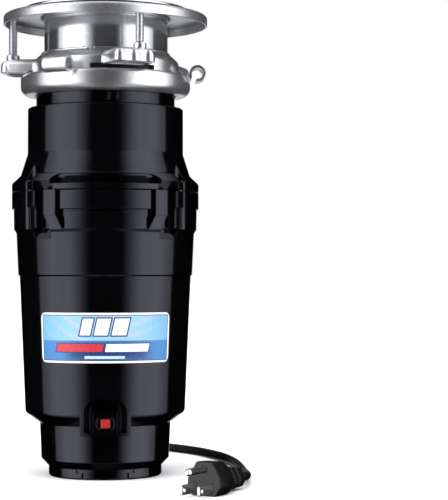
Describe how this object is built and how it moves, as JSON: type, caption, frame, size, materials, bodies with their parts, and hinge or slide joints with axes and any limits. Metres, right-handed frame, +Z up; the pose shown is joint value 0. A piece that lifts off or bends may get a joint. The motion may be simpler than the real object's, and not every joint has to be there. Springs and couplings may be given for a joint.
{
  "type": "kitchen garbage disposal",
  "caption": "Under-sink food waste disposer with sink flange, three-screw mount, grinding chamber, motor, discharge elbow and mains cord with plug.",
  "frame": {"origin": "middle of the base, on the plane it stands on", "axes": "+Z up along the motor shaft, -Y towards the front with the label and the reset button, +Y towards the discharge elbow"},
  "size_m": [0.1709, 0.3186, 0.3498],
  "materials": {
    "stainless": "satin, brushed round",
    "satin_steel": "satin, fine grain",
    "cast_metal": "cast, fine grain",
    "bright_steel": "bright zinc plating",
    "black_gloss": "gloss moulded",
    "black_rubber": "matte moulded",
    "stopper_rubber": "matte moulded",
    "fibre": "pressed fibre, matte",
    "label": "printed film",
    "red_plastic": "moulded",
    "black_cord": "smooth PVC",
    "brass": "bright",
    "copper": "enamelled wire",
    "carbon": "matte",
    "ferrite": "matte",
    "aluminium": "die cast",
    "grey_plastic": "moulded"
  },
  "bodies": {
    "root": {"sink_flange": "stainless", "snap_ring": "bright_steel", "splash_guard": "black_rubber", "mounting_ring": "cast_metal", "cushion_mount": "black_rubber", "hopper_housing": "black_gloss", "grind_ring": "stainless", "hopper_gasket": "black_rubber", "housing_screw_1": "bright_steel", "housing_screw_2": "bright_steel", "housing_screw_3": "bright_steel", "housing_screw_4": "bright_steel", "upper_end_plate": "aluminium", "shaft_seal": "black_rubber", "upper_bearing": "bright_steel", "lower_bearing": "bright_steel", "motor_can": "satin_steel", "magnet_a": "ferrite", "magnet_b": "ferrite", "brush_plate": "grey_plastic", "brush_a": "carbon", "brush_b": "carbon", "lower_end_bell": "aluminium", "motor_housing": "black_gloss", "reset_switch": "grey_plastic", "base_cover": "black_gloss", "label_plate": "label", "discharge_elbow": "black_rubber", "elbow_flange": "satin_steel", "elbow_screw_1": "bright_steel", "elbow_screw_2": "bright_steel", "strain_relief": "black_rubber", "cord_lead": "black_cord", "cord_coil": "black_cord", "cord_run": "black_cord", "plug_body": "black_cord", "plug_blade_live": "brass", "plug_blade_neutral": "brass", "plug_ground_pin": "brass"},
    "support_flange": {"support_flange": "satin_steel", "fibre_gasket": "fibre"},
    "mount_screw_1": {"mount_screw_1": "bright_steel"},
    "mount_screw_2": {"mount_screw_2": "bright_steel"},
    "mount_screw_3": {"mount_screw_3": "bright_steel"},
    "turn_ring": {"turn_ring": "cast_metal"},
    "stopper": {"sink_stopper": "stopper_rubber"},
    "rotor": {"turntable": "stainless", "turntable_nut": "bright_steel", "motor_shaft": "bright_steel", "armature_core": "satin_steel", "winding_upper": "copper", "winding_lower": "copper", "commutator": "copper", "slinger": "black_rubber", "impeller_rivet_a": "bright_steel", "impeller_rivet_b": "bright_steel"},
    "impeller_a": {"impeller_a": "stainless"},
    "impeller_b": {"impeller_b": "stainless"},
    "reset_button": {"reset_button": "red_plastic"}
  },
  "joints": [
    {"name": "flange_clamp", "type": "slide", "parent": "root", "child": "support_flange", "axis": [0, 0, 1], "range_m": [-0.018, 0]},
    {"name": "mount_screw_1_travel", "type": "slide", "parent": "root", "child": "mount_screw_1", "axis": [0, 0, 1], "range_m": [-0.018, 0]},
    {"name": "mount_screw_2_travel", "type": "slide", "parent": "root", "child": "mount_screw_2", "axis": [0, 0, 1], "range_m": [-0.018, 0]},
    {"name": "mount_screw_3_travel", "type": "slide", "parent": "root", "child": "mount_screw_3", "axis": [0, 0, 1], "range_m": [-0.018, 0]},
    {"name": "ring_lock", "type": "hinge", "parent": "root", "child": "turn_ring", "pos_m": [0, 0, 0.27], "axis": [0, 0, 1], "range_deg": [-40, 0]},
    {"name": "stopper_lift", "type": "slide", "parent": "root", "child": "stopper", "axis": [0, 0, 1], "range_m": [0, 0.12]},
    {"name": "rotor_spin", "type": "hinge", "parent": "root", "child": "rotor", "pos_m": [0, 0, 0.2], "axis": [0, 0, 1], "continuous": true},
    {"name": "impeller_a_swing", "type": "hinge", "parent": "rotor", "child": "impeller_a", "pos_m": [0.03, 0, 0.204], "axis": [0, 0, 1], "continuous": true},
    {"name": "impeller_b_swing", "type": "hinge", "parent": "rotor", "child": "impeller_b", "pos_m": [-0.03, 0, 0.204], "axis": [0, 0, 1], "continuous": true},
    {"name": "reset_pop", "type": "slide", "parent": "root", "child": "reset_button", "axis": [0, -1, 0], "range_m": [0, 0.003]}
  ],
  "couplings": [
    {"joint": "mount_screw_1_travel", "follows": "flange_clamp", "ratio": 1},
    {"joint": "mount_screw_2_travel", "follows": "flange_clamp", "ratio": 1},
    {"joint": "mount_screw_3_travel", "follows": "flange_clamp", "ratio": 1}
  ]
}
